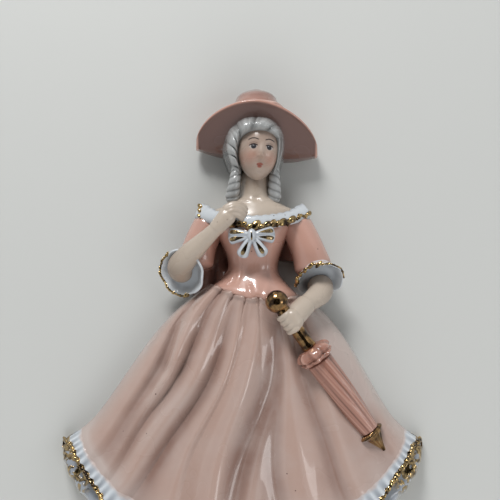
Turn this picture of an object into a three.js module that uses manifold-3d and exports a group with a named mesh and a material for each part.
// A flat-backed porcelain lady with a closed parasol, made to hang on a wall or lie on its back.
// She is put together as a potter does it: separately cast pieces, seated on each other in turn.
// Millimetres. +Z comes out of the flat back, +Y runs from the hem to the hat, and the exported
// group's origin is the middle of the back. Inside this file X and Y are counted from the waist.
import * as THREE from "three";
import { mergeVertices } from "three/addons/utils/BufferGeometryUtils.js";
import Module from "manifold-3d";

const wasm = await Module();
wasm.setup();

// Joints between castings
const SEAT_GAP = 0.34; // the slip joint left between one casting and the next
const WALL = 3.2; // wall of the hollow castings

// Skirt
const WAIST_HALF = 18; // half the width of the gathered top
const HIP_SWELL = 12.2; // how far the hips round out on each side
const HIP_TURN = 0.13; // share of the side over which they do it
const HIP_LIFT = 2.4; // her right hip stands this much higher at the waist
const SKIRT_SPREAD = 36; // straight spread of each side
const HEM_FLARE = 8; // last kick outwards at the hem
const FLARE_POWER = 12; // the higher, the later the kick begins
const SKIRT_SIDE = 61; // waist to hem corner
const SKIRT_SWING = -4.2; // the hem's middle lies this far to her right
const WAIST_SAG = 3;
const HEM_SAG = 42; // how far the lip of the hem hangs below its corners
const HEM_CORNER = 1.3; // above 1 draws the corners of the hem to points
const WAIST_RISE = 20.5; // height of the skirt's front over its flat back
const HEM_RISE = 27;
const SKIRT_EDGE = 1.6; // thickness where the sides meet the wall behind
const DOME = 0.72; // roundness of the skirt's cross section
const FLOUNCE_WIDTH = 8.5;
const GATHER_COUNT = 13;
const GATHER_DEPTH = 0.7;
const GATHER_REACH = 0.12; // share of the side over which the gathers die away
const WAIST_TUCK = 1.8; // how far the gathered edge is drawn in under the bodice
const TUCK_REACH = 0.05;

// Each fold of the skirt starts at one place across the waist and ends at another across the hem,
// both from -1 to 1. Rise is its height at the hem, and a negative rise is a valley.
const FOLDS = [
  { waist: -0.86, hem: -0.85, rise: 1.6, width: 0.09 },
  { waist: -0.56, hem: -0.71, rise: 1.8, width: 0.05 },
  { waist: -0.5, hem: -0.65, rise: -1.6, width: 0.035 },
  { waist: -0.44, hem: -0.57, rise: 2.6, width: 0.05 },
  { waist: -0.36, hem: -0.46, rise: -2.2, width: 0.05 },
  { waist: -0.2, hem: -0.34, rise: 2.6, width: 0.06 },
  { waist: 0.02, hem: -0.24, rise: -1.4, width: 0.04 },
  { waist: 0.24, hem: -0.12, rise: 3.4, width: 0.07 },
  { waist: 0.44, hem: -0.01, rise: -3.4, width: 0.055 },
  { waist: 0.56, hem: 0.08, rise: 1.8, width: 0.045 },
  { waist: 0.63, hem: 0.15, rise: -1.6, width: 0.04 },
  { waist: 0.72, hem: 0.27, rise: 2.2, width: 0.08 },
  { waist: 0.82, hem: 0.4, rise: -1.8, width: 0.035 },
  { waist: 0.88, hem: 0.5, rise: 1.8, width: 0.06 },
  { waist: 0.94, hem: 0.66, rise: -1.3, width: 0.05 },
  { waist: 0.97, hem: 0.78, rise: 1.6, width: 0.06 },
];

// Hem trim
const FLUTE_COUNT = 42;
const FLUTE_DEPTH = 0.55;
const FLOUNCE_THICK = 3.4;
const PETTICOAT_SHOW = 5.2; // how far the under flounce reaches past the lip
const PETTICOAT_LIP = 2.4; // thickness of its own lip at the back plane
const PETTICOAT_EDGE = 0.9; // its least thickness where the upper flounce covers it
const SCALLOP_COUNT = 21;
const SCALLOP_DEPTH = 0.6;
const HEM_END = 0.985; // both flounces stop just short of the hem's corners

// Bodice
const BODICE_HEIGHT = 27.5; // waist to the neckline
const NIP_HEIGHT = 9; // the narrowest place above the waist
const NIP_HALF = 10.9;
const NIP_RISE = 18.5;
const BUST_HEIGHT = 21;
const BUST_HALF = 14.2;
const BUST_RISE = 24.5;
const BUST_DOME = 0.8; // roundness of the bodice's cross section at the bust
const NECKLINE_HALF = 18.5;
const NECKLINE_RISE = 20.5;
const BASQUE_HALF = 18.5; // half width of the skirted edge below the waist
const BASQUE_POINT = 5; // how far the middle point hangs
const BASQUE_SLANT = 2.4; // how much its end on her right is raised, and the other let down
const BASQUE_SHIFT = 1.2; // how far the edge lies to her left
const BASQUE_LIFT = 2.6; // how proud the basque stands on the gathers
const HANG_HOLE_RADIUS = 4.2;
const HANG_HOLE_HEIGHT = 17; // its centre above the waist

// Shoulders, neck and head
const SHOULDER_HALF = 19.5;
const SHOULDER_HEIGHT = 33;
const NECK_BASE = 37.5;
const NECK_HALF = 6.6;
const NECK_RISE = 16.5;
const NECK_LENGTH = 10;
const HEAD_LEAN = 2.4; // the head's middle lies this far to her left
const HEAD_HEIGHT = 27; // crown of the skull to chin
const HEAD_HALF = 8.8;
const HEAD_DEEP = 10.4;
const HEAD_OUT = 15.4; // centre of the head over the back plane
const HEAD_ROLL = -4; // degrees, towards her left shoulder
const HEAD_YAW = 8; // degrees, the face turned to her left
const CHIN_COVER = 2.5; // the chin hides this much of the neck
const NOSE_OUT = 1.5;

// Hair
const HAIR_HALF = 13;
const HAIR_SHIFT = -1.7; // its outline lies to her right of the face's
const HAIR_TOP = HEAD_HEIGHT * 0.6; // from the middle of the head to the top of the dressed hair
const BROW_HALF = 7.9; // half width of the opening for the face
const BROW_TOP = HEAD_HEIGHT * 0.29;
const HAIR_PROUD = 0.6; // how far its front stands out beyond the face
const HAIR_FALL = 1.9; // a higher power keeps it full for longer before it falls back
const THROAT_SHARE = 0.8; // width of the opening under the jaw, as a share of the face's
const THROAT_DROP = 0.6; // its middle under the middle of the head, as a share of HEAD_HEIGHT
const HAIR_LOCKS = 8;
const LOCK_DEPTH = 0.55;
const HAIR_LEVELS = 9; // rings of the modelled surface from brow to back
const RINGLET_SPREAD = 8.4; // from the middle of the hair to the middle of each
const RINGLET_LENGTH = 12;
const RINGLET_RADIUS = 2.5;
const RINGLET_TURNS = 3;
const RINGLET_GROOVE = 0.45;

// Hat
const BRIM_HALF = 25.1;
const BRIM_TALL = 17.8; // brow line to the upper rim
const BRIM_ARCH = 1.76; // 2 would make the rim an ellipse, 1 a gable
const BRIM_RIM = 26; // height of its upper rim over the back plane
const BRIM_CORNER = 7.6; // height of its drooping corners
const CORNER_TALL = 2.2;
const BRIM_SAG = 2.6; // how far the lower edge sags between the corners
const CORNER_LIFT = 3.4; // how far the corners' backs stand off the back plane
const BRIM_DISH = 0.75; // below 1 hollows the underside towards the hair
const BRIM_TILT = -1.6; // how much lower the corner on her left hangs
const CROWN_HALF = 11;
const CROWN_TALL = 10;
const CROWN_RISE = 17.5;
const CROWN_BLUNT = 0.18; // 0 would bring its top to an edge
const BAND_WIDE = 2.6;
const BAND_PROUD = 1.2; // how far the band stands out from the crown

// Collar and bow
const COLLAR_HALF = 22.8;
const COLLAR_DIP = 7.4; // how far the neckline dips between the shoulders
const COLLAR_WIDE = 3.1;
const COLLAR_THICK = 1.6;
const COLLAR_SINK = 3.6; // its sides lie this far under the neckline's rise
const COLLAR_BEADS = 15;
const BEAD_SWELL = 0.14;
const KNOT_WIDE = 1.9;
const KNOT_TALL = 2.7;
const LOOP_LENGTH = 9.4;
const LOOP_WIDE = 3.9;
const TAIL_LENGTH = 9.6;
const TAIL_WIDE = 2.8;
const RIBBON_THICK = 1.7;

// Sleeves end in bell cuffs. A cuff opens along its own aim, from which the forearm comes out.
const SLEEVE_TOP = 6.4;
const SLEEVE_LOW = 7.8;
const SLEEVE_OUT = 8; // centre line over the back plane
const SLEEVE_BOW = 0.7; // outward bow of its centre line
const WEB_HALF = 7.6; // the filling of the recess between a sleeve and the bodice
const WEB_RISE = 5.4;
const RAISED_WEB_FOOT = -2.6; // it closes the whole recess on the raised arm's side
const LOWERED_WEB_FOOT = 13.5; // and only its upper part on the other
const CUFF_MOUTH = 10;
const CUFF_THROAT = 6.4;
const CUFF_DEEP = 6.4;
const CUFF_WALL = 1.7;
const CUFF_SCALLOPS = 9;
const CUFF_WAVE = 0.35;

// Arms
const ELBOW_RADIUS = 5.6;
const WRIST_RADIUS = 4;
const RAISED_SLEEVE_END = new THREE.Vector3(-25.6, 7.6, 8.6);
const RAISED_CUFF = new THREE.Vector3(-29, 6.6, 14.5);
const RAISED_ELBOW = new THREE.Vector3(-29.4, 10, 14.6);
const RAISED_WRIST = new THREE.Vector3(-11.6, 25.2, 26.4);
const RAISED_KNUCKLES = new THREE.Vector3(-5, 31.4, 28.2);
const RAISED_TIPS = new THREE.Vector3(0.8, 29.6, 25.6);
const RAISED_CUFF_AIM = new THREE.Vector3(-0.42, -0.4, 0.82);
const LOWERED_SLEEVE_END = new THREE.Vector3(27.8, 3.4, 8.6);
const LOWERED_CUFF = new THREE.Vector3(27.8, 3.4, 14);
const LOWERED_ELBOW = new THREE.Vector3(27.4, -1.8, 14.8);
const LOWERED_WRIST = new THREE.Vector3(21, -8.4, 21.6);
const LOWERED_CUFF_AIM = new THREE.Vector3(0.14, -0.78, 0.61);
const PALM_THICK = 2.4;
const FINGER_RADIUS = 1.25;
const FINGER_COUNT = 4;

// Parasol, held by its handle through the fist
const PARASOL_GRIP = new THREE.Vector3(15.9, -15.1, 25.4);
const PARASOL_TURN = -53.6; // degrees from +X, in the plane of the back
const PARASOL_DIP = 10.5; // degrees that the tip falls towards the skirt
const KNOB_RADIUS = 4.6;
const KNOB_ABOVE = 11; // knob centre above the middle of the grip
const SHAFT_RADIUS = 1.9;
const SHAFT_BELOW = 11.6; // grip to the canopy's frill
const FRILL_LENGTH = 6;
const FRILL_RADIUS = 6;
const FRILL_LOBES = 7;
const FRILL_DEPTH = 0.45;
const CANOPY_LENGTH = 34.8;
const CANOPY_TOP_RADIUS = 4.8;
const CANOPY_END_RADIUS = 2.9;
const CANOPY_SWELL = 0.5;
const CANOPY_PLEATS = 10;
const PLEAT_DEPTH = 0.32;
const TIP_LENGTH = 10;
const TIP_FLARE = 3.8;
const TIP_END_RADIUS = 1;

const UP = new THREE.Vector3(0, 0, 1);
const CRUMBS = [0.03, 0.1, 0.18]; // edges shorter than these are drawn together after a cut, in turn
const FLATTEST = 0.03; // least height of a facet over its longest edge
const FAR = 400; // larger than anything here, for cutting planes
const { cos, sin, PI, exp, sqrt, abs, max, min } = Math;
const { lerp, clamp, smoothstep, degToRad } = THREE.MathUtils;

// A closed solid from points, numbered three to a face, turned so that its faces point outwards.
function closedSolid(points, corners) {
  const vertProperties = new Float32Array(points.flatMap((p) => [p.x, p.y, p.z]));
  const make = (order) => {
    const triVerts = new Uint32Array(order);
    return new wasm.Manifold(new wasm.Mesh({ numProp: 3, vertProperties, triVerts }));
  };
  const made = make(corners);
  return made.volume() > 0 ? made : make([...corners].reverse());
}

const vectorsOf = (attribute) =>
  Array.from({ length: attribute.count }, (_, i) => new THREE.Vector3().fromBufferAttribute(attribute, i));

// The same from a three.js geometry, with its seam vertices merged.
function solidOf(geometry) {
  const bare = new THREE.BufferGeometry();
  bare.setAttribute("position", geometry.getAttribute("position"));
  bare.setIndex(geometry.index);
  const merged = mergeVertices(bare, 1e-4);
  const points = vectorsOf(merged.getAttribute("position"));
  const whole = [];
  for (let i = 0; i < merged.index.count; i += 3) {
    const [a, b, c] = [0, 1, 2].map((k) => merged.index.getX(i + k));
    if (a !== b && b !== c && c !== a) whole.push(a, b, c);
  }
  return closedSolid(points, whole);
}

// A patch of modelled surface over a back. Both take u and v from 0 to 1. The back is a second
// patch, or a number: the height of a flat back under the outline of the first.
function relief(top, back, uSteps, vSteps) {
  const row = vSteps + 1;
  const grid = (face) => {
    const made = [];
    for (let i = 0; i <= uSteps; i++)
      for (let j = 0; j < row; j++) made.push(face(i / uSteps, j / vSteps));
    return made;
  };
  const edge = [];
  for (let j = 0; j < vSteps; j++) edge.push(j);
  for (let i = 0; i < uSteps; i++) edge.push(i * row + vSteps);
  for (let j = vSteps; j > 0; j--) edge.push(uSteps * row + j);
  for (let i = uSteps; i > 0; i--) edge.push(i * row);
  const points = grid(top);
  const corners = quads(uSteps, vSteps, (i, j) => i * row + j);
  const below = points.length;
  const flat = typeof back === "number";
  if (flat) {
    const outline = edge.map((k) => new THREE.Vector2(points[k].x, points[k].y));
    const facing = THREE.ShapeUtils.area(outline) > 0 ? [0, 1, 2] : [2, 1, 0];
    const faces = THREE.ShapeUtils.triangulateShape(outline, []);
    for (const face of faces) corners.push(...facing.map((k) => below + face[k]));
    points.push(...edge.map((k) => points[k].clone().setZ(back)));
  } else {
    corners.push(...quads(uSteps, vSteps, (i, j) => below + i * row + j).reverse());
    points.push(...grid(back));
  }
  edge.forEach((a, k) => {
    const next = (k + 1) % edge.length;
    const [c, d] = flat ? [below + k, below + next] : [below + a, below + edge[next]];
    corners.push(a, edge[next], d, a, d, c);
  });
  return closedSolid(points, corners);
}

// The two triangles of every cell in a grid of rows and columns.
function quads(rows, columns, at) {
  const corners = [];
  for (let i = 0; i < rows; i++)
    for (let j = 0; j < columns; j++) {
      const [a, b, c, d] = [at(i, j), at(i + 1, j), at(i + 1, j + 1), at(i, j + 1)];
      corners.push(a, b, c, a, c, d);
    }
  return corners;
}

// Rings of points along a spine, closed at both ends. outline(t, angle) gives how far the skin
// stands across the spine and towards the viewer, at t along it.
function sweep(spine, outline, rings, sides) {
  const points = [];
  for (let i = 0; i < rings; i++) {
    const t = i / (rings - 1);
    const centre = spine.getPointAt(t);
    const along = spine.getTangentAt(t);
    const across = UP.clone().cross(along).normalize();
    const out = along.clone().cross(across);
    for (let j = 0; j < sides; j++) {
      const [wide, deep] = outline(t, (2 * PI * j) / sides);
      points.push(centre.clone().addScaledVector(across, wide).addScaledVector(out, deep));
    }
  }
  const corners = [];
  for (let i = 0; i < rings - 1; i++)
    for (let j = 0; j < sides; j++) {
      const a = i * sides + j;
      const b = i * sides + ((j + 1) % sides);
      corners.push(a, b, b + sides, a, b + sides, a + sides);
    }
  const first = points.push(spine.getPointAt(0)) - 1;
  const last = points.push(spine.getPointAt(1)) - 1;
  const end = (rings - 1) * sides;
  for (let j = 0; j < sides; j++) {
    const next = (j + 1) % sides;
    corners.push(first, next, j, last, end + j, end + next);
  }
  return closedSolid(points, corners);
}

// An oval outline whose half sizes come from a function of t.
const oval = (halves) => (t, angle) => {
  const [wide, deep] = halves(t);
  return [wide * cos(angle), deep * sin(angle)];
};

// 0 at the ends of a path, 1 over its middle, round in between.
const rounded = (t, start, end) => {
  const left = clamp(t / start, 0.02, 1);
  const right = clamp((1 - t) / end, 0.02, 1);
  return sqrt(left * (2 - left)) * sqrt(right * (2 - right));
};

const path = (...points) => new THREE.CatmullRomCurve3(points);
const line = (from, to) => new THREE.LineCurve3(from, to);
const point = (x, y, z) => new THREE.Vector3(x, y, z);

// The surface of a solid as a three.js geometry.
function surfaceOf(solid) {
  const mesh = solid.getMesh();
  const places = new Float32Array(mesh.numVert * 3);
  for (let i = 0; i < mesh.numVert; i++)
    places.set(mesh.vertProperties.subarray(i * mesh.numProp, i * mesh.numProp + 3), i * 3);
  const geometry = new THREE.BufferGeometry();
  geometry.setAttribute("position", new THREE.BufferAttribute(places, 3));
  geometry.setIndex(new THREE.BufferAttribute(mesh.triVerts, 1));
  geometry.computeVertexNormals();
  return geometry;
}

// The solid grown outwards by a distance.
function grown(solid, by) {
  const surface = surfaceOf(solid);
  const normals = vectorsOf(surface.getAttribute("normal"));
  const points = vectorsOf(surface.getAttribute("position"));
  points.forEach((place, i) => place.addScaledVector(normals[i], by));
  return closedSolid(points, Array.from(surface.index.array));
}

// A casting fitted to the ones it is seated on, and kept in front of the back plane.
function seated(solid, ...neighbours) {
  const room = solidOf(new THREE.BoxGeometry(FAR, FAR, FAR).translate(0, 0, FAR / 2));
  let fitted = solid.intersect(room);
  for (const other of neighbours) fitted = fitted.subtract(grown(other, SEAT_GAP));
  return tidied(largest(fitted));
}

// The solid without the slivers that cuts leave: short edges are drawn together where the surface
// stays closed, and the long edge of a flat facet is turned across its neighbour.
function tidied(solid) {
  const surface = surfaceOf(solid);
  const spots = vectorsOf(surface.getAttribute("position"));
  const faces = [];
  for (let i = 0; i < surface.index.count; i += 3)
    faces.push([0, 1, 2].map((k) => surface.index.getX(i + k)));
  const around = spots.map(() => new Set());
  faces.forEach((face, k) => face.forEach((v) => around[v].add(k)));

  const ring = (v) => new Set([...around[v]].flatMap((k) => faces[k]).filter((w) => w !== v));
  const triangle = (face) => new THREE.Triangle(...face.map((v) => spots[v]));
  const heightOf = (face) => {
    const [a, b, c] = face.map((v) => spots[v]);
    return (2 * triangle(face).getArea()) / max(a.distanceTo(b), b.distanceTo(c), c.distanceTo(a), FLATTEST);
  };
  const turns = (before, after) => {
    if (heightOf(before) < FLATTEST) return false;
    const [from, to] = [before, after].map((face) => triangle(face).getNormal(new THREE.Vector3()));
    return from.dot(to) < 0.7;
  };
  const put = (k, face) => {
    for (const v of faces[k] ?? []) around[v].delete(k);
    faces[k] = face;
    for (const v of face ?? []) around[v].add(k);
  };

  const drawTogether = (a, b) => {
    const near = ring(b);
    if ([...ring(a)].filter((v) => near.has(v)).length !== 2) return;
    const kept = [...around[b]].filter((k) => !faces[k].includes(a));
    const moved = kept.map((k) => faces[k].map((v) => (v === b ? a : v)));
    if (kept.some((k, i) => turns(faces[k], moved[i]))) return;
    for (const k of [...around[b]]) if (faces[k].includes(a)) put(k, null);
    kept.forEach((k, i) => put(k, moved[i]));
  };
  for (const shortest of CRUMBS)
    for (let k = 0; k < faces.length; k++)
      for (const [i, j] of [[0, 1], [1, 2], [2, 0]]) {
        const face = faces[k];
        if (face && spots[face[i]].distanceTo(spots[face[j]]) < shortest) drawTogether(face[i], face[j]);
      }

  for (let k = 0; k < faces.length; k++) {
    if (!faces[k] || heightOf(faces[k]) > FLATTEST) continue;
    const lengthFrom = (i) => spots[faces[k][i]].distanceTo(spots[faces[k][(i + 1) % 3]]);
    const start = [0, 1, 2].reduce((best, i) => (lengthFrom(i) > lengthFrom(best) ? i : best), 0);
    const [u, v, w] = [0, 1, 2].map((i) => faces[k][(start + i) % 3]);
    const other = [...around[u]].find((n) => n !== k && faces[n].includes(v));
    const x = faces[other].find((n) => n !== u && n !== v);
    if (ring(w).has(x) || turns(faces[other], [w, u, x]) || turns(faces[other], [x, v, w])) continue;
    put(k, [w, u, x]);
    put(other, [x, v, w]);
  }
  return closedSolid(spots, faces.filter(Boolean).flat());
}

// The biggest piece of a solid, without the crumbs that a cut leaves.
function largest(solid) {
  const pieces = solid.decompose();
  return pieces.reduce((best, piece) => (piece.volume() > best.volume() ? piece : best), pieces[0]);
}

// Skirt

const skirtHalf = (t) =>
  WAIST_HALF + HIP_SWELL * (1 - exp(-t / HIP_TURN)) + SKIRT_SPREAD * t + HEM_FLARE * t ** FLARE_POWER;
const skirtSag = (t) => lerp(WAIST_SAG, HEM_SAG, t ** 1.15);
const skirtSpot = (t, across) => {
  const turn = (across * PI) / 2;
  const hang = max(cos(turn), 0) ** lerp(1, HEM_CORNER, t);
  const lift = HIP_LIFT * smoothstep(-across, 0.1, 0.9) * exp(-t / HIP_TURN);
  const x = SKIRT_SWING * t ** 0.75 + skirtHalf(t) * sin(turn);
  return [x, lift - SKIRT_SIDE * t - skirtSag(t) * hang];
};
const foldLine = (fold, t) => lerp(fold.waist, fold.hem, t ** 0.8);
const foldRise = (t, across) => {
  const settle = smoothstep(t, 0, 0.55);
  let rise = 0;
  for (const fold of FOLDS) {
    const middle = foldLine(fold, t);
    rise += fold.rise * lerp(0.2, 1, settle) * exp(-(((across - middle) / fold.width) ** 2));
  }
  const gather = GATHER_DEPTH * exp(-t / GATHER_REACH) * cos(GATHER_COUNT * PI * across);
  return (rise + gather) * smoothstep(1 - abs(across), 0, 0.12) - WAIST_TUCK * exp(-t / TUCK_REACH);
};
const domeRise = (t, across) =>
  SKIRT_EDGE + (lerp(WAIST_RISE, HEM_RISE, t) - SKIRT_EDGE) * max(cos((across * PI) / 2), 0) ** DOME;
const skirtTop = (t, across) => {
  const rise = domeRise(t, across) + foldRise(t, across);
  return point(...skirtSpot(t, across), max(rise, SKIRT_EDGE));
};

// Share of the side at which the white flounce takes over from the skirt.
const FLOUNCE_START = 1 - FLOUNCE_WIDTH / (SKIRT_SIDE + HEM_SAG);

// The skirt's columns run along its folds, so that every ridge and valley has one of its own.
function makeSkirt() {
  const lines = [{ waist: -1, hem: -1 }, ...FOLDS, { waist: 1, hem: 1 }];
  const spaces = lines.length - 1;
  const top = (u, v) => {
    const t = u * FLOUNCE_START;
    const left = min(Math.floor(v * spaces), spaces - 1);
    return skirtTop(t, lerp(foldLine(lines[left], t), foldLine(lines[left + 1], t), v * spaces - left));
  };
  return relief(top, 0, 12, 3 * spaces);
}

// The hollow inside the skirt, open at the waist into the bodice.
function skirtCavity() {
  const deepest = max(...FOLDS.map((fold) => -fold.rise));
  const side = 1 - (2 * WALL) / skirtHalf(0.3);
  const roof = (t, across) => max(domeRise(t, across) - deepest - WALL, 2 * WALL);
  const reach = (u) => lerp(-0.04, FLOUNCE_START - WALL / SKIRT_SIDE, u);
  const spot = (u, v) => skirtSpot(max(reach(u), 0), (2 * v - 1) * side * lerp(0.5, 0.8, u));
  const lift = (u) => (reach(u) < 0 ? WALL : 0);
  return relief(
    (u, v) => {
      const [x, y] = spot(u, v);
      return point(x, y + lift(u), roof(max(reach(u), 0), (2 * v - 1) * side));
    },
    (u, v) => {
      const [x, y] = spot(u, v);
      return point(x, y + lift(u), WALL);
    },
    6,
    8,
  );
}

// The white ruffle that ends the skirt, fluted across its width.
function makeHemFlounce() {
  const reach = (u) => lerp(FLOUNCE_START + SEAT_GAP / SKIRT_SIDE, 1, u);
  const flute = (u, across) =>
    FLUTE_DEPTH * u * cos(FLUTE_COUNT * PI * across) * smoothstep(1 - abs(across), 0, 0.06);
  const top = (u, v) => {
    const across = lerp(-HEM_END, HEM_END, v);
    const place = skirtTop(reach(u), across);
    return place.setZ(place.z + flute(u, across));
  };
  const under = (u, v) => {
    const place = top(u, v);
    return place.setZ(max(place.z - FLOUNCE_THICK, PETTICOAT_EDGE + SEAT_GAP));
  };
  return relief(top, under, 1, 2 * FLUTE_COUNT);
}

// The under flounce: a rounded tier that shows past the lip and closes the hem down to the back.
function makePetticoat() {
  const start = FLOUNCE_START + SEAT_GAP / SKIRT_SIDE;
  const wave = (across) => SCALLOP_DEPTH * cos(SCALLOP_COUNT * PI * across);
  const under = FLOUNCE_THICK + FLUTE_DEPTH + SEAT_GAP;
  const rows = 3; // the first lies hidden beneath the flounce
  const face = (u, v) => {
    const across = lerp(-HEM_END, HEM_END, v);
    const turn = (across * PI) / 2;
    const [lipX, lipY] = skirtSpot(1, across);
    const shown = max(rows * u - 1, 0) / (rows - 1);
    const past = lerp(0, PETTICOAT_SHOW + wave(across), shown);
    const inner = skirtSpot(start, across);
    const covered = min(rows * u, 1);
    const rise = max(skirtTop(lerp(start, 1, covered), across).z - under, PETTICOAT_EDGE);
    const fall = sqrt(max(1 - shown ** 2.4, 0));
    return point(
      lerp(inner[0], lipX, covered) + past * sin(turn) * cos(turn),
      lerp(inner[1], lipY, covered) - past * max(cos(turn), 0) ** 0.6,
      lerp(PETTICOAT_LIP, rise, fall),
    );
  };
  return relief(face, 0, rows, 2 * FLUTE_COUNT);
}

// Bodice

const bodiceHalves = new THREE.SplineCurve([
  new THREE.Vector2(0, BASQUE_HALF),
  new THREE.Vector2(NIP_HEIGHT, NIP_HALF),
  new THREE.Vector2(BUST_HEIGHT, BUST_HALF),
  new THREE.Vector2(BODICE_HEIGHT, NECKLINE_HALF),
]);
const bodiceRises = new THREE.SplineCurve([
  new THREE.Vector2(0, WAIST_RISE + BASQUE_LIFT),
  new THREE.Vector2(NIP_HEIGHT, NIP_RISE),
  new THREE.Vector2(BUST_HEIGHT, BUST_RISE),
  new THREE.Vector2(BODICE_HEIGHT, NECKLINE_RISE),
]);

function makeBodice(skirt) {
  const top = (u, v) => {
    const across = 2 * v - 1;
    const turn = (across * PI) / 2;
    const width = bodiceHalves.getPoint(u);
    const edge = (1 - u) ** 3;
    const hang = edge * (BASQUE_POINT * max(cos(turn), 0) ** 2 + BASQUE_SLANT * sin(turn));
    const rise = bodiceRises.getPoint(u).y * max(cos(turn), 0) ** lerp(DOME - 0.12, BUST_DOME, u);
    return point(width.y * sin(turn) + BASQUE_SHIFT * edge, width.x - hang, rise);
  };
  return seated(relief(top, 0, 11, 14), skirt);
}

function bodiceCavity() {
  const top = (u, v) => {
    const turn = (2 * v - 1) * (PI / 2);
    const t = lerp(0.02, 0.86, u);
    const width = bodiceHalves.getPoint(t);
    const half = min(width.y, NIP_HALF + 2) - WALL;
    const roof = (bodiceRises.getPoint(t).y - 3 * WALL) * lerp(0.3, 1, max(cos(turn), 0));
    return point(half * sin(turn), width.x, WALL + roof);
  };
  return relief(top, WALL, 5, 6);
}

const hangingHole = () =>
  solidOf(
    new THREE.CylinderGeometry(HANG_HOLE_RADIUS, HANG_HOLE_RADIUS, 4 * WALL, 24)
      .rotateX(PI / 2)
      .translate(0, HANG_HOLE_HEIGHT, 0),
  );

// Shoulders and neck, one casting from the neckline up
function makeBust(...neighbours) {
  const foot = BODICE_HEIGHT + SEAT_GAP;
  const halves = new THREE.SplineCurve([
    new THREE.Vector2(foot, NECKLINE_HALF),
    new THREE.Vector2(SHOULDER_HEIGHT, SHOULDER_HALF - 1),
    new THREE.Vector2((SHOULDER_HEIGHT + NECK_BASE) / 2, SHOULDER_HALF * 0.72),
    new THREE.Vector2(NECK_BASE, NECK_HALF + 3.2),
    new THREE.Vector2(NECK_BASE + 2.5, NECK_HALF + 0.3),
    new THREE.Vector2(NECK_BASE + NECK_LENGTH, NECK_HALF),
  ]);
  const top = (u, v) => {
    const turn = (2 * v - 1) * (PI / 2);
    const width = halves.getPoint(u);
    const fall = smoothstep(width.x, foot, NECK_BASE + 2);
    const rise = lerp(NECKLINE_RISE, NECK_RISE, fall) * max(cos(turn), 0) ** 0.62;
    return point(width.y * sin(turn) + HEAD_LEAN * 0.6 * fall, width.x, rise);
  };
  return seated(relief(top, 0, 10, 16), ...neighbours);
}

// Head and hair are modelled upright about the middle of the head, then rolled and turned.
const headCentre = point(HEAD_LEAN, NECK_BASE + NECK_LENGTH - CHIN_COVER + HEAD_HEIGHT / 2, HEAD_OUT);
const headPose = new THREE.Matrix4().compose(
  headCentre,
  new THREE.Quaternion().setFromEuler(new THREE.Euler(0, degToRad(HEAD_YAW), degToRad(HEAD_ROLL), "ZYX")),
  point(1, 1, 1),
);
const rolledAt = (centre) => new THREE.Matrix4().makeRotationZ(degToRad(HEAD_ROLL)).setPosition(centre);
const hairPose = rolledAt(headCentre);

// An egg with a chin, a nose and the hollows of the eyes
function headSkin(level, turn) {
  const tilt = level * PI; // 0 at the chin, PI at the crown
  const jaw = lerp(0.66, 1, smoothstep(level, 0.05, 0.5));
  const radius = sin(tilt) * jaw;
  const height = (-cos(tilt) * HEAD_HEIGHT) / 2;
  const facing = max(sin(turn), 0);
  const bump = (from, size) => exp(-(((height - from) / size) ** 2));
  const nose = NOSE_OUT * facing ** 24 * bump(-3, 2.6);
  const sockets = -0.9 * bump(0.8, 1.6) * exp(-(((abs(cos(turn)) - 0.36) / 0.18) ** 2)) * facing;
  const chin = 1.1 * facing ** 6 * bump(2.4 - HEAD_HEIGHT / 2, 2.2);
  const out = HEAD_DEEP * radius * sin(turn) + nose + sockets + chin;
  return point(HEAD_HALF * radius * cos(turn), height, out);
}

const makeHead = () => seated(globe(headSkin, 13, 22, headPose));

// A closed skin of levels between two poles. skin(level, angle) takes level from 0 to 1.
function globe(skin, levels, sides, pose) {
  const points = [skin(0, 0)];
  for (let i = 1; i < levels; i++)
    for (let j = 0; j < sides; j++) points.push(skin(i / levels, (2 * PI * j) / sides));
  const far = points.push(skin(1, 0)) - 1;
  const at = (i, j) => 1 + i * sides + (j % sides);
  const corners = quads(levels - 2, sides, at);
  for (let j = 0; j < sides; j++)
    corners.push(0, at(0, j), at(0, j + 1), far, at(levels - 2, j + 1), at(levels - 2, j));
  return closedSolid(points.map((p) => p.applyMatrix4(pose)), corners);
}

// Dressed hair: swept up from the brow in locks, and falling back to the flat of the back. The
// room is the smooth shape that the brim leaves free for it.
const hairSkin = (room) => (level, turn) => {
  const swell = sin((level * PI) / 2);
  const lock = room + LOCK_DEPTH * sin(PI * level) * (room ? 1 : cos(2 * HAIR_LOCKS * turn));
  const low = sin(turn) < 0 ? 0.66 : 1;
  const reachX = (lerp(BROW_HALF, HAIR_HALF, swell) + lock) * min(1, 8 * level);
  const reachY = (lerp(BROW_TOP, HAIR_TOP, swell) + lock) * low * min(1, 8 * level);
  const closing = clamp((1 - level) * 12, 0, 1);
  const out = lerp(HEAD_DEEP + HAIR_PROUD, -HEAD_OUT - HEAD_HALF, level ** HAIR_FALL);
  return point(reachX * closing * cos(turn) + HAIR_SHIFT * swell, reachY * closing * sin(turn), out);
};
const makeHairRoom = () => globe(hairSkin(1.5 * SEAT_GAP), HAIR_LEVELS, 24, hairPose);

// The opening in the hair through which the face looks out.
function faceWindow() {
  const skin = (level, turn) => {
    const reach = sqrt(max(sin(level * PI), 0));
    const y = BROW_TOP * (1.5 * reach * sin(turn) - 0.5);
    return point(BROW_HALF * reach * cos(turn), y, HEAD_DEEP * (1.4 - cos(level * PI)));
  };
  return globe(skin, 8, 16, rolledAt(headCentre));
}

// The hair stays open under the jaw, all the way to the back.
const throatRoom = () =>
  solidOf(
    new THREE.BoxGeometry(THROAT_SHARE * 2 * HEAD_HALF, HEAD_HEIGHT / 2, 4 * HEAD_OUT)
      .translate(0, -THROAT_DROP * HEAD_HEIGHT, 0)
      .applyMatrix4(rolledAt(headCentre)),
  );

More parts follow.
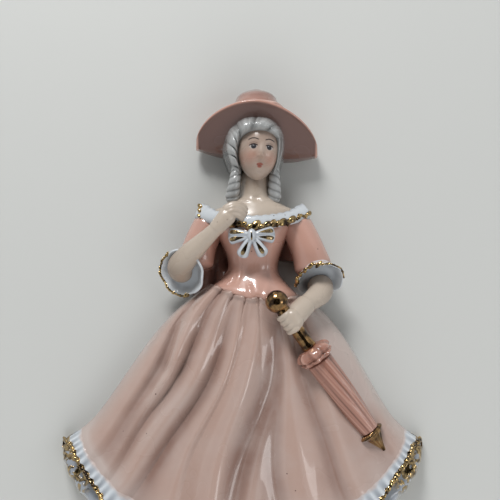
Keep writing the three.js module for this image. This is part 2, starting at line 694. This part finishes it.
function makeHair(head, bust) {
  const dressed = globe(hairSkin(0), HAIR_LEVELS, 4 * HAIR_LOCKS, hairPose);
  return seated(dressed.subtract(faceWindow()).subtract(throatRoom()), head, bust);
}

// A ringlet: a hanging tube grooved like a rope
function makeRinglet(x, ...neighbours) {
  const top = point(x, headCentre.y - HEAD_HEIGHT * 0.34, HEAD_OUT - 1.6);
  const end = point(x + (HEAD_LEAN - x) * 0.08, top.y - RINGLET_LENGTH, HEAD_OUT - 0.6);
  const outline = (t, angle) => {
    const groove = RINGLET_GROOVE * cos(2 * (angle - RINGLET_TURNS * PI * t));
    const radius = (RINGLET_RADIUS + groove) * rounded(t, 0.12, 0.2);
    return [radius * cos(angle), radius * sin(angle)];
  };
  return seated(sweep(line(top, end), outline, 15, 8), ...neighbours);
}

// Hat: a dished brim that droops at the corners, with the crown behind its upper rim
const browLine = headCentre.y + HEAD_HEIGHT * 0.045;
const rimLine = browLine + BRIM_TALL;

function makeHatBrim(head) {
  const spot = (u, v) => {
    const across = 2 * v - 1;
    const arch = (1 - abs(across) ** BRIM_ARCH) ** (1 / BRIM_ARCH);
    const corner = browLine + BRIM_TILT * across - CORNER_TALL / 5;
    const low = corner - BRIM_SAG * (1 - abs(across) ** 3);
    const high = corner + lerp(CORNER_TALL, BRIM_TALL, arch);
    return { across, arch, x: HEAD_LEAN - 0.4 + BRIM_HALF * across, y: lerp(low, high, u) };
  };
  const front = (u, v) => {
    const { arch, x, y } = spot(u, v);
    const rim = lerp(BRIM_CORNER, BRIM_RIM, arch ** 0.9);
    return point(x, y, lerp(min(BRIM_CORNER, rim), rim, u ** BRIM_DISH));
  };
  const back = (u, v) => {
    const { across, x, y } = spot(u, v);
    return point(x, y, CORNER_LIFT * smoothstep(abs(across), 0.5, 1));
  };
  return seated(relief(front, back, 5, 22).subtract(makeHairRoom()), head);
}

// A half-round slab of the crown between two heights, widened by proud.
function crownSlab(from, to, proud, rows) {
  const top = (u, v) => {
    const turn = (v - 0.5) * PI;
    const y = lerp(from, to, u);
    const level = max((y - rimLine) / CROWN_TALL, 0) ** 2.4;
    const across = sqrt(max(1 - level, CROWN_BLUNT));
    const rise = (CROWN_RISE * across + proud) * max(cos(turn), 0) ** 0.7;
    return point(HEAD_LEAN - 0.8 + (CROWN_HALF * across + proud) * sin(turn), y, max(rise, 0.8));
  };
  return relief(top, 0, rows, 14);
}

const makeHatBand = (brim) =>
  seated(crownSlab(rimLine - BAND_WIDE * 1.4, rimLine + BAND_WIDE / 2, BAND_PROUD, 1), brim);
const makeHatCrown = () => crownSlab(rimLine + BAND_WIDE / 2 + SEAT_GAP, rimLine + CROWN_TALL, 0, 5);

// A round tube along a path that climbs out of the back plane, as an extrusion
function tube(along, radius, steps, sides) {
  const ring = new THREE.Shape();
  for (let i = 0; i < sides; i++) {
    const turn = (2 * PI * i) / sides;
    ring[i ? "lineTo" : "moveTo"](radius * cos(turn), radius * sin(turn));
  }
  return solidOf(new THREE.ExtrudeGeometry(ring, { steps, extrudePath: along }));
}

// Collar and bow

function makeCollar(...neighbours) {
  const high = SHOULDER_HEIGHT + 0.4;
  const low = high - COLLAR_DIP;
  const halfway = lerp(high, low, 0.62);
  const arc = path(
    point(-COLLAR_HALF, high, SLEEVE_OUT + 1.4),
    point(-COLLAR_HALF * 0.62, halfway, NECKLINE_RISE - COLLAR_SINK),
    point(0, low, NECKLINE_RISE + 3.2),
    point(COLLAR_HALF * 0.62, halfway, NECKLINE_RISE - COLLAR_SINK),
    point(COLLAR_HALF, high, SLEEVE_OUT + 1.4),
  );
  const swell = (t) => rounded(t, 0.05, 0.05) * (1 + BEAD_SWELL * cos(2 * PI * COLLAR_BEADS * t));
  const outline = oval((t) => [COLLAR_WIDE * swell(t), COLLAR_THICK * swell(t)]);
  return seated(sweep(arc, outline, 2 * COLLAR_BEADS + 1, 7), ...neighbours);
}

const bowCentre = point(-0.4, BUST_HEIGHT - 0.6, BUST_RISE + 1.2);

function makeBowKnot(...neighbours) {
  const knot = new THREE.SphereGeometry(1, 10, 8).scale(KNOT_WIDE, KNOT_TALL, RIBBON_THICK * 1.3);
  knot.translate(...bowCentre.toArray());
  return seated(solidOf(knot), ...neighbours);
}

function makeRibbon(turn, length, wide, ...neighbours) {
  const heading = point(cos(degToRad(turn)), sin(degToRad(turn)), 0);
  const end = bowCentre.clone().addScaledVector(heading, length).setZ(bowCentre.z - 2.4);
  const outline = oval((t) => [
    lerp(KNOT_WIDE * 0.5, wide, t ** 0.8) * rounded(t, 0.02, 0.3),
    RIBBON_THICK * lerp(0.8, 1, t) * rounded(t, 0.02, 0.3),
  ]);
  return seated(sweep(line(bowCentre, end), outline, 7, 8), ...neighbours);
}

// Sleeves and cuffs

function makeSleeve(side, end) {
  const shoulder = point(side * (SHOULDER_HALF - 2.5), SHOULDER_HEIGHT - 2.5, SLEEVE_OUT);
  const middle = shoulder.clone().lerp(end, 0.5);
  middle.x += side * SLEEVE_BOW;
  const outline = oval((t) => {
    const radius = lerp(SLEEVE_TOP, SLEEVE_LOW, t) * rounded(t, 0.18, 0.16);
    return [radius, radius * 1.05];
  });
  return sweep(path(shoulder, middle, end), outline, 10, 12);
}

// The low filling of the recess between a sleeve and the bodice
function makeWeb(side, foot) {
  const from = point(side * (NIP_HALF + WEB_HALF), BUST_HEIGHT, 0);
  const to = from.clone().setY(foot);
  const outline = oval((t) => [WEB_HALF * rounded(t, 0.2, 0.2), WEB_RISE]);
  return sweep(line(from, to), outline, 6, 10);
}

// A bell cuff: a turned ring with a waved lip
function makeCuff(mouth, aim, ...neighbours) {
  const profile = [
    [CUFF_THROAT - CUFF_WALL, -CUFF_DEEP],
    [CUFF_THROAT, -CUFF_DEEP],
    [CUFF_THROAT + 1, -CUFF_DEEP * 0.6],
    [CUFF_MOUTH - 0.5, -CUFF_DEEP * 0.15],
    [CUFF_MOUTH, 0],
    [CUFF_MOUTH - CUFF_WALL, 0],
    [CUFF_THROAT + 1 - CUFF_WALL, -CUFF_DEEP * 0.6],
    [CUFF_THROAT - CUFF_WALL, -CUFF_DEEP],
  ].map(([radius, height]) => new THREE.Vector2(radius, height));
  const bell = new THREE.LatheGeometry(profile, 3 * CUFF_SCALLOPS);
  const place = bell.getAttribute("position");
  for (let i = 0; i < place.count; i++) {
    const turn = Math.atan2(place.getZ(i), place.getX(i));
    const lip = smoothstep(place.getY(i), -CUFF_DEEP, 0);
    place.setY(i, place.getY(i) + lip * CUFF_WAVE * cos(CUFF_SCALLOPS * turn));
  }
  bell.applyQuaternion(new THREE.Quaternion().setFromUnitVectors(point(0, 1, 0), aim.clone().normalize()));
  bell.translate(...mouth.toArray());
  return seated(solidOf(bell), ...neighbours);
}

// Arms

// A forearm that starts inside its sleeve
function makeForearm(start, elbow, wrist) {
  const outline = oval((t) => {
    const radius = lerp(ELBOW_RADIUS, WRIST_RADIUS, smoothstep(t, 0.2, 0.9)) * rounded(t, 0.16, 0.1);
    return [radius, radius];
  });
  return sweep(path(start, elbow, wrist), outline, 9, 10);
}

// The raised arm ends in a hand laid on the chest: a palm and four bent fingers
function makeRaisedArm(...neighbours) {
  const heading = RAISED_KNUCKLES.clone().sub(RAISED_WRIST).setZ(0).normalize();
  const sideways = UP.clone().cross(heading);
  const palm = sweep(
    line(RAISED_WRIST.clone().lerp(RAISED_ELBOW, 0.12), RAISED_KNUCKLES),
    oval((t) => {
      const end = rounded(t, 0.1, 0.25);
      const wide = lerp(WRIST_RADIUS, FINGER_COUNT * FINGER_RADIUS, t);
      return [wide * end, lerp(WRIST_RADIUS, PALM_THICK, t) * end];
    }),
    6,
    10,
  );
  let arm = makeForearm(RAISED_SLEEVE_END, RAISED_ELBOW, RAISED_WRIST).add(palm);
  for (let i = 0; i < FINGER_COUNT; i++) {
    const aside = (i - (FINGER_COUNT - 1) / 2) * FINGER_RADIUS * 1.8;
    const root = RAISED_KNUCKLES.clone().addScaledVector(sideways, aside).addScaledVector(heading, -2);
    const bend = root.clone().addScaledVector(heading, 3.4);
    const tip = RAISED_TIPS.clone().addScaledVector(sideways, aside * 0.8);
    const outline = oval((t) => Array(2).fill(FINGER_RADIUS * rounded(t, 0.15, 0.2)));
    arm = arm.add(sweep(path(root, bend, tip), outline, 6, 6));
  }
  return seated(arm, ...neighbours);
}

// The parasol's own line, measured from the middle of the grip towards the tip
const parasolAim = point(1, 0, 0).applyEuler(
  new THREE.Euler(0, degToRad(PARASOL_DIP), degToRad(PARASOL_TURN), "ZYX"),
);
const onParasol = (distance) => PARASOL_GRIP.clone().addScaledVector(parasolAim, distance);

// The lowered arm ends in a fist closed round the handle
function makeLoweredArm(...neighbours) {
  const fist = FINGER_COUNT * FINGER_RADIUS * 0.9;
  const palm = sweep(
    line(LOWERED_WRIST.clone().lerp(LOWERED_ELBOW, 0.15), PARASOL_GRIP),
    oval((t) => Array(2).fill(lerp(WRIST_RADIUS, fist, smoothstep(t, 0, 0.8)) * rounded(t, 0.1, 0.3))),
    7,
    11,
  );
  let arm = makeForearm(LOWERED_SLEEVE_END, LOWERED_ELBOW, LOWERED_WRIST).add(palm);
  const across = UP.clone().cross(parasolAim).normalize();
  const out = parasolAim.clone().cross(across);
  const reach = SHAFT_RADIUS + SEAT_GAP + FINGER_RADIUS;
  for (let i = 0; i < FINGER_COUNT; i++) {
    const centre = onParasol((i - (FINGER_COUNT - 1) / 2) * FINGER_RADIUS * 1.8);
    const wrap = [20, 90, 160, 225].map((degrees) =>
      centre
        .clone()
        .addScaledVector(across, reach * cos(degToRad(degrees)))
        .addScaledVector(out, reach * sin(degToRad(degrees))),
    );
    arm = arm.add(tube(path(...wrap), FINGER_RADIUS, 7, 6));
  }
  return seated(arm, ...neighbours);
}

// Parasol

function makeKnob(...neighbours) {
  const ball = new THREE.SphereGeometry(KNOB_RADIUS, 16, 10).translate(...onParasol(-KNOB_ABOVE).toArray());
  return seated(solidOf(ball), ...neighbours);
}

// A round piece on the parasol's line between two distances, with lobes round it.
function turned(from, to, radiusAt, rings, sides, lobes = 0, depth = 0) {
  const outline = (t, angle) => {
    const radius = radiusAt(t) + depth * cos(lobes * angle) * rounded(t, 0.1, 0.1);
    return [radius * cos(angle), radius * sin(angle)];
  };
  return sweep(line(onParasol(from), onParasol(to)), outline, rings, sides);
}

function makeShaft(...neighbours) {
  const start = KNOB_RADIUS * 0.8 - KNOB_ABOVE;
  return seated(turned(start, SHAFT_BELOW - SEAT_GAP, () => SHAFT_RADIUS, 2, 12), ...neighbours);
}

function makeFrill(...neighbours) {
  const radius = (t) => lerp(SHAFT_RADIUS + 1.2, FRILL_RADIUS, rounded(t, 0.5, 0.35));
  const end = SHAFT_BELOW + FRILL_LENGTH;
  const sides = 4 * FRILL_LOBES;
  return seated(turned(SHAFT_BELOW, end, radius, 7, sides, FRILL_LOBES, FRILL_DEPTH), ...neighbours);
}

const canopyStart = SHAFT_BELOW + FRILL_LENGTH + SEAT_GAP;
const canopyEnd = canopyStart + CANOPY_LENGTH;

function makeCanopy(...neighbours) {
  const radius = (t) => lerp(CANOPY_TOP_RADIUS, CANOPY_END_RADIUS, t) + CANOPY_SWELL * sin(PI * t);
  const sides = 4 * CANOPY_PLEATS;
  return seated(turned(canopyStart, canopyEnd, radius, 5, sides, CANOPY_PLEATS, PLEAT_DEPTH), ...neighbours);
}

// The gilt tip: a flared cap that narrows to a blunt end
function makeTip(...neighbours) {
  const start = canopyEnd + SEAT_GAP;
  const radius = (t) =>
    lerp(lerp(CANOPY_END_RADIUS, TIP_FLARE, smoothstep(t, 0, 0.16)), TIP_END_RADIUS, smoothstep(t, 0.16, 1));
  return seated(turned(start, start + TIP_LENGTH, radius, 7, 12, 4, PLEAT_DEPTH), ...neighbours);
}

// The castings, in the order in which they are seated

const skirtBody = makeSkirt();
const bodiceBody = makeBodice(skirtBody);
const hemFlounce = makeHemFlounce();
const petticoat = makePetticoat();
const head = makeHead();
const bust = makeBust(head);
const hair = makeHair(head, bust);
const rightRinglet = makeRinglet(HEAD_LEAN + HAIR_SHIFT - RINGLET_SPREAD, head, bust, hair);
const leftRinglet = makeRinglet(HEAD_LEAN + HAIR_SHIFT + RINGLET_SPREAD, head, bust, hair);
const hatBrim = makeHatBrim(head);
const hatBand = makeHatBand(hatBrim);
const hatCrown = makeHatCrown();
const rightArmhole = makeSleeve(-1, RAISED_SLEEVE_END).add(makeWeb(-1, RAISED_WEB_FOOT));
const rightSleeve = seated(rightArmhole, bodiceBody, skirtBody, bust);
const leftArmhole = makeSleeve(1, LOWERED_SLEEVE_END).add(makeWeb(1, LOWERED_WEB_FOOT));
const leftSleeve = seated(leftArmhole, bodiceBody, skirtBody, bust);
const rightCuff = makeCuff(RAISED_CUFF, RAISED_CUFF_AIM, rightSleeve, skirtBody, bodiceBody);
const leftCuff = makeCuff(LOWERED_CUFF, LOWERED_CUFF_AIM, leftSleeve, skirtBody, bodiceBody);
const collar = makeCollar(bust, bodiceBody, rightSleeve, leftSleeve);
const bowKnot = makeBowKnot(bodiceBody, collar);
const knob = makeKnob(skirtBody, bodiceBody);
const shaft = makeShaft(knob, skirtBody);
const frill = makeFrill(shaft, skirtBody);
const canopy = makeCanopy(frill, skirtBody);
const tip = makeTip(canopy, skirtBody, hemFlounce, petticoat);
const leftArm = makeLoweredArm(shaft, knob, frill, skirtBody, bodiceBody, leftSleeve, leftCuff);
const rightArm = makeRaisedArm(bodiceBody, bust, collar, rightSleeve, rightCuff, skirtBody);
const ribbons = [
  ["bow_loop_right", 180, LOOP_LENGTH, LOOP_WIDE],
  ["bow_loop_left", 4, LOOP_LENGTH, LOOP_WIDE],
  ["bow_tail_right", 243, TAIL_LENGTH, TAIL_WIDE],
  ["bow_tail_left", 303, TAIL_LENGTH, TAIL_WIDE],
];

// Glazes

const glaze = (colour, roughness = 0.18, metalness = 0) =>
  new THREE.MeshStandardMaterial({ color: colour, roughness, metalness });
const SHELL_PINK = 0xd9b3a8;
const DEEP_PINK = 0xc8907c;
const HAT_PINK = 0xb07a6c;
const WHITE = 0xe9ecef;
const SKIN = 0xdfcfbd;
const HAIR_GREY = 0xb9bab8;
const GOLD = 0xb08a45;

const figure = new THREE.Group();

function cast(name, solid, material) {
  const mesh = new THREE.Mesh(surfaceOf(solid), material);
  mesh.name = name;
  figure.add(mesh);
}

cast("skirt", largest(skirtBody.subtract(skirtCavity())), glaze(SHELL_PINK));
cast("hem_flounce", hemFlounce, glaze(WHITE));
cast("petticoat_flounce", petticoat, glaze(WHITE));
cast("bodice", largest(bodiceBody.subtract(bodiceCavity()).subtract(hangingHole())), glaze(DEEP_PINK));
cast("bust", bust, glaze(SKIN));
cast("head", head, glaze(SKIN));
cast("hair", hair, glaze(HAIR_GREY));
cast("ringlet_right", rightRinglet, glaze(HAIR_GREY));
cast("ringlet_left", leftRinglet, glaze(HAIR_GREY));
cast("hat_brim", hatBrim, glaze(HAT_PINK));
cast("hat_crown", hatCrown, glaze(HAT_PINK));
cast("hat_band", hatBand, glaze(DEEP_PINK));
cast("collar", collar, glaze(WHITE));
cast("bow_knot", bowKnot, glaze(WHITE));
const laid = [bowKnot];
for (const [name, turn, length, wide] of ribbons) {
  const ribbon = makeRibbon(turn, length, wide, bodiceBody, collar, rightArm, ...laid);
  laid.push(ribbon);
  cast(name, ribbon, glaze(WHITE));
}
cast("sleeve_right", rightSleeve, glaze(DEEP_PINK));
cast("sleeve_left", leftSleeve, glaze(DEEP_PINK));
cast("cuff_right", rightCuff, glaze(WHITE));
cast("cuff_left", leftCuff, glaze(WHITE));
cast("arm_right", rightArm, glaze(SKIN));
cast("arm_left", leftArm, glaze(SKIN));
cast("parasol_knob", knob, glaze(GOLD, 0.12, 1));
cast("parasol_shaft", shaft, glaze(GOLD, 0.12, 1));
cast("parasol_frill", frill, glaze(DEEP_PINK));
cast("parasol_canopy", canopy, glaze(DEEP_PINK));
cast("parasol_tip", tip, glaze(GOLD, 0.12, 1));

// Put the origin in the middle of the back.
const extent = new THREE.Box3().setFromObject(figure);
const middle = extent.getCenter(new THREE.Vector3());
figure.position.set(-middle.x, -middle.y, -extent.min.z);
const part = new THREE.Group();
part.add(figure);

export default part;
